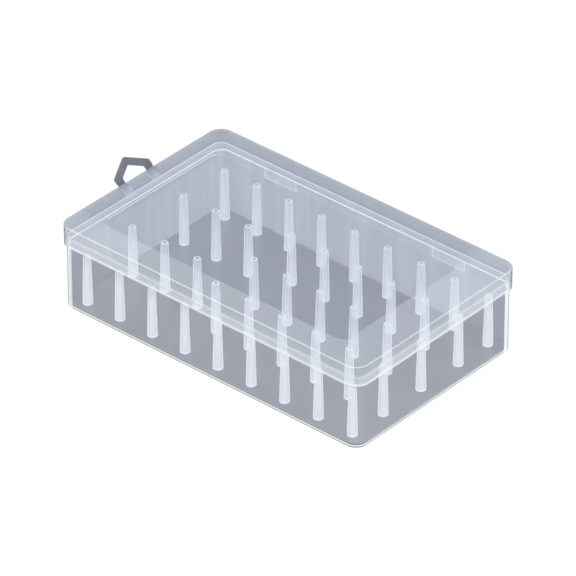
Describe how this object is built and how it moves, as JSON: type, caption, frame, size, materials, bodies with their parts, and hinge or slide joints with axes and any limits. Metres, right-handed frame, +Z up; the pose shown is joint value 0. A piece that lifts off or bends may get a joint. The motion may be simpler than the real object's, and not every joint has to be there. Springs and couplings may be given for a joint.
{
  "type": "bobbin box",
  "caption": "Rectangular see-through plastic box with a hinged lid, rows of upright tapered pegs that hold thread spools or bobbins, and a swinging hang loop on one end.",
  "frame": {"origin": "middle of the tray's flat underside", "axes": "+X along the box away from the hang loop, +Y towards the hinged long wall, +Z up"},
  "size_m": [0.2565, 0.1514, 0.0635],
  "materials": {
    "tray_plastic": "translucent moulded plastic, smooth, slightly frosted",
    "lid_plastic": "translucent moulded plastic, frosted border round a clearer panel",
    "peg_plastic": "milky translucent moulded plastic",
    "loop_plastic": "slate grey moulded plastic, fine matte grain",
    "pin_plastic": "smooth natural plastic rod"
  },
  "bodies": {
    "tray": {"base_tray": "tray_plastic", "hinge_pin_left": "pin_plastic", "hinge_pin_right": "pin_plastic", "spool_peg_01": "peg_plastic", "spool_peg_02": "peg_plastic", "spool_peg_03": "peg_plastic", "spool_peg_04": "peg_plastic", "spool_peg_05": "peg_plastic", "spool_peg_06": "peg_plastic", "spool_peg_07": "peg_plastic", "spool_peg_08": "peg_plastic", "spool_peg_09": "peg_plastic", "spool_peg_10": "peg_plastic", "spool_peg_11": "peg_plastic", "spool_peg_12": "peg_plastic", "spool_peg_13": "peg_plastic", "spool_peg_14": "peg_plastic", "spool_peg_15": "peg_plastic", "spool_peg_16": "peg_plastic", "spool_peg_17": "peg_plastic", "spool_peg_18": "peg_plastic", "spool_peg_19": "peg_plastic", "spool_peg_20": "peg_plastic", "spool_peg_21": "peg_plastic", "spool_peg_22": "peg_plastic", "spool_peg_23": "peg_plastic", "spool_peg_24": "peg_plastic", "spool_peg_25": "peg_plastic", "spool_peg_26": "peg_plastic", "spool_peg_27": "peg_plastic", "spool_peg_28": "peg_plastic", "spool_peg_29": "peg_plastic", "spool_peg_30": "peg_plastic", "spool_peg_31": "peg_plastic", "spool_peg_32": "peg_plastic", "spool_peg_33": "peg_plastic", "spool_peg_34": "peg_plastic", "spool_peg_35": "peg_plastic", "spool_peg_36": "peg_plastic", "spool_peg_37": "peg_plastic", "spool_peg_38": "peg_plastic", "spool_peg_39": "peg_plastic", "spool_peg_40": "peg_plastic", "spool_peg_41": "peg_plastic", "spool_peg_42": "peg_plastic"},
    "lid": {"lid_cover": "lid_plastic", "loop_pin_front": "pin_plastic", "loop_pin_rear": "pin_plastic"},
    "hang_loop": {"hang_loop": "loop_plastic"}
  },
  "joints": [
    {"name": "lid_hinge", "type": "hinge", "parent": "tray", "child": "lid", "pos_m": [0, 0.0751, 0.0424], "axis": [-1, 0, 0], "range_deg": [0, 180]},
    {"name": "loop_swing", "type": "hinge", "parent": "lid", "child": "hang_loop", "pos_m": [-0.12326, 0.0021, 0.05237], "axis": [0, 1, 0], "range_deg": [-110, 60]}
  ]
}
